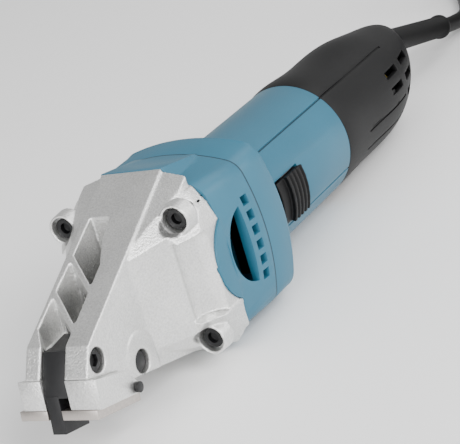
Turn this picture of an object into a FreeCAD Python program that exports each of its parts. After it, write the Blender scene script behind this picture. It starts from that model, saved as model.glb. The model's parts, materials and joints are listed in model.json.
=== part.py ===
import FreeCAD, Part
import math
import os
import re

import Sketcher

# Straight double-cut shear for sheet metal, in millimetres.
# The tool's own frame: +Y runs from the joint between head and front housing (y = 0) back along
# the motor axis, +Z is up and +X is the side that carries the switch.
# In the row's frame the tool rests on its flange and tail, and the floor is z = 0.

SIZES = {
    "tidy_gap": (0.05, "clearance of a bearing or a pressed piece in its seat"),
    "running_gap": (0.3, "clearance between pieces that move past each other"),
    # motor barrel and flange
    "wall": (2.5, "wall of the plastic housings"),
    "barrel_radius": (25.2, "outside radius of the motor barrel"),
    "barrel_end": (114, "joint between motor housing and rear cover"),
    "barrel_start": (52, "end of the slope from flange to barrel"),
    "flange_front": (22.6, "joint between front and motor housing"),
    "flange_rear": (38.5, "rear edge of the flange"),
    "flange_width": (33.5, "half width of the flange"),
    "flange_height": (33, "half height of the flange"),
    "flange_side_radius": (90, "radius of the flange's bowed sides"),
    "flange_top_radius": (77, "radius of the flange's bowed top and bottom"),
    "flange_corner": (8, "corner radius of the flange"),
    "front_width": (30.8, "half width of the front housing at the head"),
    "front_height": (32.4, "half height of the front housing at the head"),
    "edge_round": (1.4, "rounding of the flange's rear edge"),
    "seam_width": (0.9, "width of the moulded seam grooves"),
    "seam_depth": (0.6, "depth of the moulded seam grooves"),
    "upper_seam": (46, "angle of the upper seam above the switch side"),
    "lower_seam": (-30, "angle of the lower seam"),
    "seam_start": (57, "front end of the seams"),
    "upper_groove": (-14, "angle of the upper long groove of the rear cover"),
    "lower_groove": (-34, "angle of the lower long groove"),
    "seam_end": (178, "rear end of the upper seam on the rear cover"),
    "sleeve_radius": (22.1, "outside radius of the sleeve inside the rear cover"),
    "sleeve_wall": (2.2, "wall of that sleeve"),
    "sleeve_end": (147, "rear end of the sleeve"),
    # head
    "head_width": (12.9, "half width of the head's slab"),
    "head_top": (36.4, "top of the head at the joint"),
    "nose_y": (-69.5, "front edge of the head's top face"),
    "nose_z": (2.7, "height of that edge"),
    "belly": (-32.7, "underside of the head at the joint"),
    "belly_rise": (0.26, "rise of the underside per unit forward"),
    "ear_front": (-21, "front faces of the screw ears"),
    "ear_floor": (-12, "floor of the screw recesses"),
    "ear_top": (37, "above the ears, before their slanting faces are cut"),
    "ear_inside": (10.2, "inner side of the ears, within the slab"),
    "core_width": (11, "half width of the slab before the ears are cut"),
    "slant_start": (-36, "front end of the ears' slanting faces"),
    "lug_proud": (0.5, "height of the lug round the pivot bolt"),
    "lip_length": (9, "reach of the front housing's side lips"),
    "lip_height": (15.5, "half height of those lips"),
    "lip_inside": (25, "inner face of the lips"),
    "lip_outside": (30.5, "outer face of the lips"),
    "screw_x": (23.7, "head screws, sideways"),
    "screw_z": (23, "head screws, up and down"),
    "screw_radius": (2.4, "shank of a head screw"),
    "screw_head_radius": (3.8, "head of a head screw"),
    "screw_head_height": (3.6, "height of that head"),
    "screw_end": (34, "tip of the head screws"),
    "screw_gap": (0.3, "clearance round a screw"),
    "socket_share": (0.55, "width of a screw's socket as a share of its head"),
    "socket_depth": (2.1, "depth of that socket"),
    "recess_radius": (5, "recess round a screw head"),
    # blades
    "slot_left": (-6.8, "left wall of the blade slot"),
    "slot_right": (3.4, "right wall of the blade slot"),
    "blade_gap": (0.4, "play of the centre blade in its slot"),
    "holder_width": (16, "outer faces of the blade holders"),
    "left_plate": (-18, "outer edge of the left side blade"),
    "right_plate": (14, "outer edge of the right side blade"),
    "kerf_left": (-6.6, "cutting edge of the left side blade"),
    "kerf_right": (-0.6, "cutting edge of the right side blade"),
    "pivot_y": (-44.7, "pivot of the centre blade"),
    "pivot_z": (-16.4, "height of that pivot"),
    "pivot_radius": (2.8, "pivot bolt"),
    "pivot_head_radius": (3.7, "head of the pivot bolt"),
    "pivot_recess": (4.3, "recess round the pivot bolt's ends"),
    "pivot_sunk": (3, "depth of that recess"),
    "nose_bolt_y": (-67.2, "nose bolts"),
    "nose_bolt_z": (-4, "height of the nose bolts"),
    "nose_bolt_radius": (3.9, "head of a nose bolt"),
    "nose_hole": (4.4, "hole round the head of a nose bolt"),
    "nose_bolt_inner": (5.2, "inner end of the nose bolts from the slot"),
    "plate_screw_y": (-56, "side blade screws"),
    "plate_screw_z": (-20.3, "height of the side blade screws"),
    "plate_screw_radius": (1.3, "shank of a side blade screw"),
    "plate_screw_head": (1.9, "head of a side blade screw"),
    "plate_head_height": (1.6, "height of that head"),
    "pivot_end": (1.8, "thickness of the pivot bolt's ends"),
    "cell_floor": (-2, "floor of the window beside the blade slot"),
    "fork_room_half": (8.2, "half width of the room for the blade's fork"),
    "crank_bore": (5.5, "bore in front of the crank's front bearing"),
    # drive
    "tooth_module": (0.8, "module of the gears"),
    "pinion_teeth": (8, "teeth on the armature shaft"),
    "gear_teeth": (26, "teeth on the driven gear"),
    "tooth_share": (0.38, "part of the pitch that a tooth fills at the pitch circle"),
    "gear_start": (1, "front face of the driven gear"),
    "gear_end": (7.4, "rear face of the driven gear"),
    "crank_radius": (4, "crank shaft"),
    "throw": (2, "offset of the eccentric"),
    "eccentric_radius": (3, "eccentric journal"),
    "roller_radius": (4.6, "roller on the eccentric"),
    "roller_start": (-15, "front end of that roller"),
    "roller_end": (-8.4, "rear end of that roller"),
    "fork_arm": (1.8, "arms of the blade's fork"),
    "fork_depth": (-16, "bottom of the fork"),
    "fork_end": (-8, "rear end of the fork"),
    "crank_bearing_front": (-6.2, "front face of the crank's front bearing"),
    "crank_bearing_width": (5, "width of the crank bearings"),
    "front_bearing_radius": (9, "outside of the crank's front bearing"),
    "rear_bearing_radius": (8, "outside of the crank's rear bearing"),
    "rear_bearing_front": (8.2, "front face of the crank's rear bearing"),
    # motor
    "shaft_radius": (4, "armature shaft"),
    "journal_radius": (3.5, "rear journal of the armature shaft"),
    "armature_bearing_front": (15.6, "front face of the armature's front bearing"),
    "armature_bearing_width": (7, "width of the armature bearings"),
    "armature_bearing_radius": (11, "outside of the armature's front bearing"),
    "tail_bearing_radius": (9.5, "outside of the armature's rear bearing"),
    "tail_bearing_front": (140, "front face of the armature's rear bearing"),
    "fan_radius": (27, "fan"),
    "fan_front": (25.5, "front of the fan"),
    "fan_rear": (35, "rear of the fan"),
    "fan_blades": (12, "blades of the fan"),
    "core_front": (60, "front of armature and stator cores"),
    "core_rear": (102, "rear of both cores"),
    "air_gap": (0.5, "gap between armature and stator"),
    "armature_radius": (13.3, "armature core"),
    "stator_radius": (22.6, "stator core"),
    "coil_inside": (15.6, "inside of the field coils"),
    "coil_outside": (19.4, "outside of the field coils"),
    "coil_reach": (7, "field coils beyond the core"),
    "commutator_radius": (11, "commutator"),
    "commutator_front": (114, "front of the commutator"),
    "commutator_rear": (129, "rear of the commutator"),
    "brush_y": (121.5, "carbon brushes, along the shaft"),
    "brush_width": (5, "width of a brush"),
    "brush_length": (8, "length of a brush along the shaft"),
    # switch
    "switch_z": (-2, "middle of the switch lever"),
    "lever_front": (51, "front of the switch lever, switched off"),
    "lever_rear": (70, "rear of the switch lever, switched off"),
    "lever_angle": (39, "arc that the switch lever covers"),
    "lever_proud": (2.6, "height of the lever above the barrel"),
    "switch_travel": (6, "travel of the switch"),
    "rod_thickness": (1.2, "switch rod"),
    "rod_width": (6, "width of the switch rod"),
    "rod_end": (167, "rear end of the switch rod"),
    # rear cover and cord
    "cover_wall": (2.25, "wall of the rear cover"),
    "cover_end": (212.5, "end of the rear cover"),
    "cover_screw_y": (143, "screw that holds the rear cover"),
    "vent_row1": (163, "front end of the first row of air slots on the rear cover"),
    "vent_row2": (182, "front end of the second row"),
    "vent_length": (12.5, "length of an air slot"),
    "vent_height": (3.2, "height of an air slot"),
    "guard_y": (206, "root of the cord guard"),
    "guard_z": (9.65, "height of that root"),
    "guard_droop": (12.5, "angle of the cord guard"),
    "guard_length": (72.4, "cord guard from root to tip"),
    "guard_root": (5.6, "radius of the guard at its root"),
    "guard_tip": (5.2, "radius of the guard at its tip"),
    "cord_radius": (3.65, "power cord"),
    "plug_radius": (18.5, "body of the plug"),
    "pin_radius": (2.4, "pins of the plug"),
    "pin_length": (19, "length of a pin"),
    "pin_spacing": (19, "distance between the pins"),
}

# Corners of the outlines, each a pair of coordinates in the plane of its sketch.
OUTLINES = {
    # head, seen from the side (y, z)
    "leg": [(-75.8, -6.9), (-59.5, -12.4), (-55.3, -17.3)],
    "holder_foot": [(-77.1, -17.2), (-52.5, -23.4)],
    "plate": [(-77.3, -17.2), (-52.5, -23.4), (-53.3, -26.8), (-77.9, -20.6)],
    "slot_side": [(-90, 40), (-66, 40), (-66, 1), (-19, 16), (-19, -26.4), (-26, -24.8), (-26, -60),
                  (-90, -60)],
    "fork_room": [(-19.5, 1.6), (-7, 1.6), (-7, -27.5), (-19.5, -26.6)],
    "blade_front": [(-56, 0.9), (-64.5, 0.2), (-69.8, 1), (-74.6, -8), (-76.2, -13.2),
                    (-58, -14.5), (-52, -18.2), (-44.7, -20.4), (-37, -21.5)],
    "lug": [(-35.8, -30), (-35.8, -13.5), (-36.8, -10.2), (-39.2, -7.6), (-42.6, -6.2), (-46.5, -6.2),
            (-50, -8.2), (-52.2, -11.6), (-53, -15.5), (-53, -22)],
    "blade_tip": [(-76.2, -12.5), (-77.4, -20.8), (-78.3, -25.6), (-65, -28.8), (-64.2, -25.2),
                  (-72.5, -23.2), (-71, -12.5)],
    # head, seen from above (x, y)
    "flare": [(12.9, -36), (22, -20.6), (21.5, -18.6), (21.8, -16.2), (23, -13.6), (25.2, -11.3),
              (28, -9.8), (29.8, -9.3), (29.8, 0)],
    "rear_cell": [(-9.6, -18.4), (-0.9, -18.7), (-0.1, -28.1), (3.4, -38.3), (3.4, -46.6), (-9.9, -33.4)],
    "middle_cell": [(-10, -35.8), (3.4, -49.2), (3.4, -61.4), (-10.7, -47.4)],
    "front_cell": [(-10.9, -49.9), (3.4, -64), (3.4, -76), (-6.8, -76), (-6.8, -69), (-11.4, -62)],
    # ears, seen from the front (x, z)
    "upper_ear": [(12.9, 36.2), (16.1, 30.2), (23.6, 28.8), (27.6, 22.4), (29.8, 15.5), (21.5, 15.2),
                  (10.4, 15.2), (10.4, 36.2)],
    "lower_ear": [(10.4, -14.5), (20.5, -14), (30.4, -15.3), (29.6, -20.5), (27.8, -25),
                  (23.2, -29.6), (10.4, -32.2)],
    # what the slanting faces of the ears leave out, at their front end and at the joint
    "slant_front": [(9.8, 18.89), (11.28, 18.46), (45, -17.42), (45, 60), (9.8, 60)],
    "slant_rear": [(9.8, 36.59), (23.63, 32.58), (45, 9.84), (45, 60), (9.8, 60)],
    "crest_front": [(16.1, 29.6), (12.9, 36.4)],
    "crest_rear": [(16.4, 30.2), (13.2, 32.4)],
}

# Sections of the rear cover: distance along the axis, outside radius, height of its centre.
COVER_SECTIONS = [(114, 25.1, 0), (136, 24.8, 0), (160, 24.8, 0), (170, 24.5, 0.1), (178, 23.6, 0.2),
                  (188, 21.5, 0.7), (197, 18.8, 2), (205, 15.3, 4.2), (211, 10.9, 6.9)]

# Route of the cord on the floor, in the row's frame: from the guard to the coil, and from the coil
# to the plug.
COIL_CENTRE = (16, 318.9)
COIL_RADIUS = 38.7
COIL_LAYERS = 4
TURNS_PER_LAYER = 2.4045
CORD_ROUTE = [(0, 209.1, 11), (0.1, 224.5, 6.5), (0.4, 244.9, 3.75), (-26.1, 297, 3.7)]
LEAD_ROUTE = [(61.9, 306.6, 25.5), (55.6, 282.9, 23.4), (50.2, 270.9, 19.4), (50, 258.9, 18.5)]
PLUG_PLACE = (50, 258.9, 18.5)

# Fall of the flange to the barrel: share of the way back, and share of the way down.
FLANGE_FALL = [(0, 0.05), (0.1, 0.14), (0.25, 0.36), (0.45, 0.68), (0.7, 0.9), (1, 1)]

for outline_name, corners in OUTLINES.items():
    for number, (first, second) in enumerate(corners, start=1):
        SIZES[f"{outline_name}_first{number}"] = (first, "corner of an outline")
        SIZES[f"{outline_name}_second{number}"] = (second, "corner of an outline")
for number, (along, radius, rise) in enumerate(COVER_SECTIONS, start=1):
    SIZES[f"cover_place{number}"] = (along, "place of a section of the rear cover")
    SIZES[f"cover_radius{number}"] = (radius, "radius of that section")
    SIZES[f"cover_rise{number}"] = (rise, "height of its centre")

doc = FreeCAD.newDocument("straight_shear")
sheet = doc.addObject("Spreadsheet::Sheet", "Sizes")
for row, (alias, (value, note)) in enumerate(SIZES.items(), start=1):
    sheet.set(f"A{row}", note)
    sheet.set(f"B{row}", str(value))
    sheet.setAlias(f"B{row}", alias)
doc.recompute()

subparts = []
cut_checks = []


# ---------------------------------------------------------------- sizes and places

def linked(formula):
    """The same formula with each size named as a cell of the sheet."""
    return re.sub(r"[a-z][a-z_0-9]*", lambda word: f"Sizes.{word.group()}" if word.group() in SIZES
                  else word.group(), str(formula))


def measure(formula):
    return float(sheet.evalExpression(linked(formula)))


def bind(item, place, formula):
    item.setExpression(place, linked(formula))


def outline(name):
    return [(f"{name}_first{i}", f"{name}_second{i}") for i in range(1, len(OUTLINES[name]) + 1)]


def mirrored(points):
    return [(f"-({x})", z) for x, z in reversed(points)]


def in_tool(x=0, y=0, z=0, axis=(0, 1, 0), angle=0):
    """A place in the tool's frame, carried into the row's frame later."""
    return FreeCAD.Placement(FreeCAD.Vector(x, y, z),
                             FreeCAD.Rotation(FreeCAD.Vector(*axis), angle))


def keep(item, place=None, on_floor=False):
    subparts.append((item, place or in_tool(), on_floor))
    return item


# ---------------------------------------------------------------- sketches and features

def new_body(label):
    body = doc.addObject("PartDesign::Body", label)
    body.Label = label
    return body


def new_sketch(body, plane, height):
    drawing = body.newObject("Sketcher::SketchObject", f"{body.Name}_sketch")
    support = next(item for item in body.Origin.OriginFeatures if item.Role == f"{plane}_Plane")
    drawing.AttachmentSupport = [(support, "")]
    drawing.MapMode = "FlatFace"
    bind(drawing, "AttachmentOffset.Base.z", height)
    return drawing


def fix(drawing, kind, geometry, formula):
    """Fixes a distance from the origin to a point of the geometry, or a radius."""
    if kind == "Radius":
        index = drawing.addConstraint(Sketcher.Constraint(kind, geometry[0], measure(formula)))
    else:
        index = drawing.addConstraint(Sketcher.Constraint(kind, -1, 1, *geometry, measure(formula)))
    bind(drawing, f"Constraints[{index}]", formula)


def polygon(points):
    def draw(drawing):
        start = drawing.GeometryCount
        corners = [FreeCAD.Vector(measure(x), measure(y), 0) for x, y in points]
        count = len(corners)
        for i in range(count):
            drawing.addGeometry(Part.LineSegment(corners[i], corners[(i + 1) % count]), False)
        for i in range(count):
            drawing.addConstraint(
                Sketcher.Constraint("Coincident", start + i, 2, start + (i + 1) % count, 1))
        for i, (x, y) in enumerate(points):
            fix(drawing, "DistanceX", (start + i, 1), x)
            fix(drawing, "DistanceY", (start + i, 1), y)
    return draw


def rectangle(left, right, bottom, top):
    return polygon([(left, bottom), (right, bottom), (right, top), (left, top)])


def circle(radius, x="0", y="0"):
    def draw(drawing):
        ring = Part.Circle(FreeCAD.Vector(measure(x), measure(y), 0), FreeCAD.Vector(0, 0, 1),
                           measure(radius))
        index = drawing.addGeometry(ring, False)
        fix(drawing, "Radius", (index,), radius)
        fix(drawing, "DistanceX", (index, 3), x)
        fix(drawing, "DistanceY", (index, 3), y)
    return draw


def bow(reach, half_height):
    """A flat chord on x = 0 with an arc that bulges towards -x."""
    radius = f"((({half_height})^2 + ({reach})^2) / (2 * ({reach})))"

    def draw(drawing):
        bulge, rise, size = measure(reach), measure(half_height), measure(radius)
        centre = FreeCAD.Vector(size - bulge, 0, 0)
        half_arc = math.asin(rise / size) if bulge < size else math.pi - math.asin(rise / size)
        arc = Part.ArcOfCircle(Part.Circle(centre, FreeCAD.Vector(0, 0, 1), size),
                               math.pi - half_arc, math.pi + half_arc)
        drawing.addGeometry(arc, False)
        drawing.addGeometry(Part.LineSegment(FreeCAD.Vector(0, -rise, 0), FreeCAD.Vector(0, rise, 0)),
                            False)
        drawing.addConstraint(Sketcher.Constraint("Coincident", 0, 2, 1, 1))
        drawing.addConstraint(Sketcher.Constraint("Coincident", 0, 1, 1, 2))
        fix(drawing, "DistanceX", (1, 1), "0")
        fix(drawing, "DistanceY", (1, 1), f"-({half_height})")
        fix(drawing, "DistanceX", (1, 2), "0")
        fix(drawing, "DistanceY", (1, 2), half_height)
        fix(drawing, "Radius", (0,), radius)
    return draw


def bowed_square(half_width, half_height, side_radius, top_radius, corner):
    """A rounded square whose four sides bow outwards."""
    def draw(drawing):
        wide, high = measure(half_width), measure(half_height)
        side, top, small = measure(side_radius), measure(top_radius), measure(corner)
        side_centre = wide - side
        top_centre = high - top
        # the corner arc touches both bowed sides from inside
        reach_side, reach_top = side - small, top - small
        span = math.hypot(side_centre, top_centre)
        along = (reach_side ** 2 - reach_top ** 2 + span ** 2) / (2 * span)
        across = math.sqrt(reach_side ** 2 - along ** 2)
        unit = (-side_centre / span, top_centre / span)
        corner_x = side_centre + along * unit[0] - across * unit[1]
        corner_z = along * unit[1] + across * unit[0]
        side_turn = math.atan2(corner_z, corner_x - side_centre)
        top_turn = math.atan2(corner_z - top_centre, corner_x)
        arcs = [(corner_x, corner_z), (-corner_x, corner_z), (-corner_x, -corner_z),
                (corner_x, -corner_z)]
        turn = math.pi
        pieces = [
            (side_centre, 0, side, -side_turn, side_turn),
            (*arcs[0], small, side_turn, top_turn),
            (0, top_centre, top, top_turn, turn - top_turn),
            (*arcs[1], small, turn - top_turn, turn - side_turn),
            (-side_centre, 0, side, turn - side_turn, turn + side_turn),
            (*arcs[2], small, turn + side_turn, turn + top_turn),
            (0, -top_centre, top, turn + top_turn, 2 * turn - top_turn),
            (*arcs[3], small, -top_turn, -side_turn),
        ]
        for x, z, size, start, end in pieces:
            ring = Part.Circle(FreeCAD.Vector(x, z, 0), FreeCAD.Vector(0, 0, 1), size)
            drawing.addGeometry(Part.ArcOfCircle(ring, start, end), False)
        for i in range(8):
            drawing.addConstraint(Sketcher.Constraint("Tangent", i, 2, (i + 1) % 8, 1))
        for index, formula in ((0, side_radius), (2, top_radius), (4, side_radius), (6, top_radius),
                               (1, corner), (3, corner), (5, corner), (7, corner)):
            fix(drawing, "Radius", (index,), formula)
        for index, x, z in ((0, f"({half_width}) - ({side_radius})", "0"),
                            (2, "0", f"({half_height}) - ({top_radius})"),
                            (4, f"({side_radius}) - ({half_width})", "0"),
                            (6, "0", f"({top_radius}) - ({half_height})")):
            fix(drawing, "DistanceX", (index, 3), x)
            fix(drawing, "DistanceY", (index, 3), z)
    return draw


def prism(body, plane, low, high, draw, cut=False):
    """Adds or cuts an outline between two places along the axis across the plane."""
    if plane == "XZ":
        height = f"-({low})" if cut else f"-({high})"
    else:
        height = f"{high}" if cut else f"{low}"
    drawing = new_sketch(body, plane, height)
    draw(drawing)
    kind = "PartDesign::Pocket" if cut else "PartDesign::Pad"
    before = body.Tip
    feature = body.newObject(kind, f"{body.Name}_{'pocket' if cut else 'pad'}")
    feature.Profile = drawing
    bind(feature, "Length", f"({high}) - ({low})")
    if cut:
        cut_checks.append((before, feature))
    return feature


def turn(body, points, cut=False, angle="360", middle=False):
    """Revolves points of (radius, y) about the Y axis."""
    drawing = new_sketch(body, "XY", "0")
    polygon(points)(drawing)
    before = body.Tip
    feature = body.newObject("PartDesign::Groove" if cut else "PartDesign::Revolution",
                             f"{body.Name}_turned")
    feature.Profile = drawing
    feature.ReferenceAxis = (drawing, ["V_Axis"])
    feature.Midplane = middle
    bind(feature, "Angle", angle)
    if cut:
        cut_checks.append((before, feature))
    return feature


def ring_around(count, body, feature):
    """Repeats a feature round the Y axis."""
    pattern = body.newObject("PartDesign::PolarPattern", f"{body.Name}_pattern")
    pattern.Originals = [feature]
    axis = next(item for item in body.Origin.OriginFeatures if item.Role == "Y_Axis")
    pattern.Axis = (axis, [""])
    pattern.Angle = 360
    bind(pattern, "Occurrences", count)
    body.Tip = pattern
    return pattern


def skin(body, kind, sections):
    """Lofts through sections given as (height, draw)."""
    drawings = []
    for height, draw in sections:
        drawing = new_sketch(body, "XZ", f"-({height})")
        draw(drawing)
        drawings.append(drawing)
    before = body.Tip
    feature = body.newObject(f"PartDesign::{kind}Loft", f"{body.Name}_loft")
    feature.Profile = drawings[0]
    feature.Sections = drawings[1:]
    feature.Ruled = len(sections) == 2
    if kind == "Subtractive":
        cut_checks.append((before, feature))
    return feature


def seam(body, angle, stations):
    """Cuts a shallow groove along a round skin through stations of (place, radius, height)."""
    turned_by = math.radians(measure(angle))
    across, up = math.cos(turned_by), math.sin(turned_by)

    def section(radius, rise):
        half = "seam_width / 2"
        corners = []
        for reach, side in (("-seam_depth", -1), ("1", -1), ("1", 1), ("-seam_depth", 1)):
            corners.append((f"({radius} + {reach}) * {across} - {side * up} * {half}",
                            f"{rise} + ({radius} + {reach}) * {up} + {side * across} * {half}"))
        return polygon(corners)

    for first, second in zip(stations, stations[1:]):
        skin(body, "Subtractive", [(place, section(radius, rise))
                                   for place, radius, rise in (first, second)])


def turned(label, points, place=None):
    body = new_body(label)
    turn(body, points)
    return keep(body, place)


def tube_points(inner, outer, front, rear):
    return [(inner, front), (outer, front), (outer, rear), (inner, rear)]


def group(label, items, place=None, on_floor=False):
    """Several like solids in one sub-part."""
    joined = doc.addObject("Part::Compound", label)
    joined.Label = label
    joined.Links = items
    return keep(joined, place, on_floor)


def cylinder(name, radius, length, x="0", y="0", z="0", along="y"):
    """A round bar that starts at the given place and runs along +X, +Y or +Z."""
    bar = doc.addObject("Part::Cylinder", name)
    turns = {"x": ((0, 1, 0), 90), "y": ((1, 0, 0), -90), "z": ((0, 0, 1), 0)}
    axis, angle = turns[along]
    bar.Placement = FreeCAD.Placement(FreeCAD.Vector(measure(x), measure(y), measure(z)),
                                      FreeCAD.Rotation(FreeCAD.Vector(*axis), angle))
    bind(bar, "Radius", radius)
    bind(bar, "Height", length)
    for part_of_place, formula in zip("xyz", (x, y, z)):
        bind(bar, f"Placement.Base.{part_of_place}", formula)
    return bar


def block(name, x, y, z):
    """A box between pairs of places along each axis."""
    box = doc.addObject("Part::Box", name)
    for side, part_of_place, (low, high) in zip(("Length", "Width", "Height"), "xyz", (x, y, z)):
        bind(box, side, f"({high}) - ({low})")
        bind(box, f"Placement.Base.{part_of_place}", low)
    return box


def fused(name, items):
    whole = doc.addObject("Part::MultiFuse", name)
    whole.Shapes = items
    return whole


def cut_from(name, base, tool):
    rest = doc.addObject("Part::Cut", name)
    rest.Base = base
    rest.Tool = tool
    return rest


# ---------------------------------------------------------------- head

CRANK_Z = "-(tooth_module * (pinion_teeth + gear_teeth) / 2)"
FORK_HALF = "(roller_radius + 2 * throw + running_gap)"


def downwards(points):
    return [(x, f"-({z})") for x, z in reversed(points)]


def make_head():
    body = new_body("head_housing")
    underside = ("-52.5", "belly + 52.5 * belly_rise")
    slab = [("0", "head_top"), ("nose_y", "nose_z"), *outline("leg"), underside, ("0", "belly")]
    prism(body, "YZ", "-core_width", "core_width", polygon(slab))
    flare = outline("flare")
    inner = [("ear_inside", "0"), ("ear_inside", flare[0][1])]
    right = polygon([*inner, *flare])
    left = polygon(mirrored([*inner, *flare]))
    prism(body, "XY", "belly", "lip_height", right)
    prism(body, "XY", "belly", "lip_height", left)
    # above the lips the flare stays behind its ridge
    ridge = [*inner, *flare[:2], (flare[1][0], "0")]
    prism(body, "XY", "lip_height", "ear_top", polygon(ridge))
    prism(body, "XY", "lip_height", "ear_top", polygon(mirrored(ridge)))
    for ear in ("upper_ear", "lower_ear"):
        prism(body, "XZ", "ear_front", "0", polygon(outline(ear)))
        prism(body, "XZ", "ear_front", "0", polygon(mirrored(outline(ear))))
    screws = [(f"{side}screw_x", f"{up}screw_z") for side in ("", "-") for up in ("", "-")]
    for place in screws:
        prism(body, "XZ", "slant_start", "ear_floor", circle("recess_radius", *place), cut=True)
    front, rear = outline("slant_front"), outline("slant_rear")
    for way in (lambda points: points, mirrored, downwards, lambda points: mirrored(downwards(points))):
        skin(body, "Subtractive", [("slant_start", polygon(way(front))), ("0.5", polygon(way(rear)))])
    prism(body, "YZ", "-head_width", "head_width", polygon(slab))
    lug = polygon(outline("lug"))
    prism(body, "YZ", "head_width", "head_width + lug_proud", lug)
    prism(body, "YZ", "-(head_width + lug_proud)", "-head_width", lug)
    below = [("5", "belly - 5 * belly_rise"), ("5", "-60"), ("-53.5", "-60"),
             ("-53.5", "belly + 53.5 * belly_rise")]
    prism(body, "YZ", "-40", "40", polygon(below), cut=True)
    # room for the lips of the front housing
    for low, high in (("lip_inside", "40"), ("-40", "-lip_inside")):
        prism(body, "YZ", low, high, bow("lip_length", "lip_height"), cut=True)
    # blade slot, its window, the room for the fork and the crank's front bearing
    prism(body, "YZ", "slot_left", "slot_right", polygon(outline("slot_side")), cut=True)
    for cell in ("rear_cell", "middle_cell", "front_cell"):
        prism(body, "XY", "cell_floor", "40", polygon(outline(cell)), cut=True)
    prism(body, "YZ", "-fork_room_half", "fork_room_half", polygon(outline("fork_room")), cut=True)
    prism(body, "XZ", "-7.5", "0", circle("crank_bore", "0", CRANK_Z), cut=True)
    prism(body, "XZ", "crank_bearing_front", "0",
          circle("front_bearing_radius + tidy_gap", "0", CRANK_Z), cut=True)
    for place in screws:
        prism(body, "XZ", "ear_floor", "0", circle("screw_radius + screw_gap", *place), cut=True)
    # pivot bolt and nose bolts
    pivot = ("pivot_y", "pivot_z")
    outer = "head_width + lug_proud"
    prism(body, "YZ", f"-({outer})", outer, circle("pivot_radius + tidy_gap", *pivot), cut=True)
    nose = ("nose_bolt_y", "nose_bolt_z")
    for low, high, start, end in (
            ("head_width - pivot_sunk", outer, "slot_right + nose_bolt_inner", "head_width"),
            (f"-({outer})", "pivot_sunk - head_width", "-head_width", "slot_left - 1.6")):
        prism(body, "YZ", low, high, circle("pivot_recess", *pivot), cut=True)
        prism(body, "YZ", start, end, circle("nose_hole", *nose), cut=True)
    keep(body)


def make_head_screws():
    items = []
    for i, (side, up) in enumerate((("", ""), ("-", ""), ("", "-"), ("-", "-"))):
        x, z = f"{side}screw_x", f"{up}screw_z"
        head = cylinder(f"screw_head{i}", "screw_head_radius", "screw_head_height", x,
                        "ear_floor - screw_head_height", z)
        shank = cylinder(f"screw_shank{i}", "screw_radius", "screw_end - ear_floor", x, "ear_floor", z)
        socket = cylinder(f"screw_socket{i}", "screw_head_radius * socket_share", "socket_depth", x,
                          "ear_floor - screw_head_height", z)
        items.append(cut_from(f"head_screw{i}", fused(f"screw_whole{i}", [head, shank]), socket))
    group("head_screws", items)


# ---------------------------------------------------------------- blades

def make_holder(label, low, high):
    body = new_body(label)
    top = outline("leg")
    foot = outline("holder_foot")
    prism(body, "YZ", low, high, polygon([*top, foot[1], foot[0]]))
    screw = ("plate_screw_y", "plate_screw_z")
    prism(body, "YZ", low, high, circle("plate_screw_radius + tidy_gap", *screw), cut=True)
    keep(body)


def make_side_blade(label, low, high):
    body = new_body(label)
    prism(body, "YZ", low, high, polygon(outline("plate")))
    keep(body)


def make_blades():
    make_holder("side_blade_holder_left", "-holder_width", "slot_left")
    make_holder("side_blade_holder_right", "slot_right", "holder_width")
    make_side_blade("side_blade_left", "left_plate", "kerf_left")
    make_side_blade("side_blade_right", "kerf_right", "right_plate")
    screws = []
    for name, start, head_at, sign in (("right", "slot_right + 0.5", "holder_width", 1),
                                       ("left", "-holder_width", "-holder_width - plate_head_height", -1)):
        length = "holder_width - slot_right - 0.5" if sign > 0 else "holder_width + slot_left - 0.5"
        shank = cylinder(f"plate_shank_{name}", "plate_screw_radius", length, start, "plate_screw_y",
                         "plate_screw_z", "x")
        head = cylinder(f"plate_head_{name}", "plate_screw_head", "plate_head_height", head_at,
                        "plate_screw_y", "plate_screw_z", "x")
        screws.append(fused(f"plate_screw_{name}", [shank, head]))
    group("side_blade_screws", screws)
    bolts = []
    for name, start, length in (("right", "slot_right + nose_bolt_inner", "2.6"),
                                ("left", "-head_width + 1.4", "2.4")):
        bolt = cylinder(f"nose_bolt_{name}", "nose_bolt_radius", length, start, "nose_bolt_y",
                        "nose_bolt_z", "x")
        hexagon = doc.addObject("Part::Prism", f"nose_socket_{name}")
        hexagon.Polygon = 6
        bind(hexagon, "Circumradius", "nose_bolt_radius * 0.6")
        bind(hexagon, "Height", "1.5")
        end = f"{start} + {length} - 1.5" if name == "right" else start
        hexagon.Placement = FreeCAD.Placement(
            FreeCAD.Vector(measure(end), measure("nose_bolt_y"), measure("nose_bolt_z")),
            FreeCAD.Rotation(FreeCAD.Vector(0, 1, 0), 90))
        bind(hexagon, "Placement.Base.x", end)
        bind(hexagon, "Placement.Base.y", "nose_bolt_y")
        bind(hexagon, "Placement.Base.z", "nose_bolt_z")
        bolts.append(cut_from(f"nose_bolt_cut_{name}", bolt, hexagon))
    group("nose_bolts", bolts)


def make_center_blade():
    """A plate that rocks on the pivot bolt, with a fork behind and a cutting beak in front."""
    body = new_body("center_blade")
    fork_top = f"{CRANK_Z} + {FORK_HALF}"
    fork_low = f"{CRANK_Z} - {FORK_HALF}"
    fork = [("-19", f"{fork_low} - fork_arm"), ("fork_end", f"{fork_low} - fork_arm"),
            ("fork_end", fork_low), ("fork_depth", fork_low), ("fork_depth", fork_top),
            ("fork_end", fork_top), ("fork_end", f"{fork_top} + fork_arm"),
            ("-20", f"{fork_top} + fork_arm"), ("-32", "-6.5"), ("-48", "-6")]
    prism(body, "YZ", "slot_left + blade_gap", "slot_right - blade_gap",
          polygon([*outline("blade_front"), *fork]))
    prism(body, "YZ", "kerf_left + running_gap", "kerf_right - running_gap",
          polygon(outline("blade_tip")))
    prism(body, "YZ", "slot_left", "slot_right",
          circle("pivot_radius + tidy_gap", "pivot_y", "pivot_z"), cut=True)
    keep(body)


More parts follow.
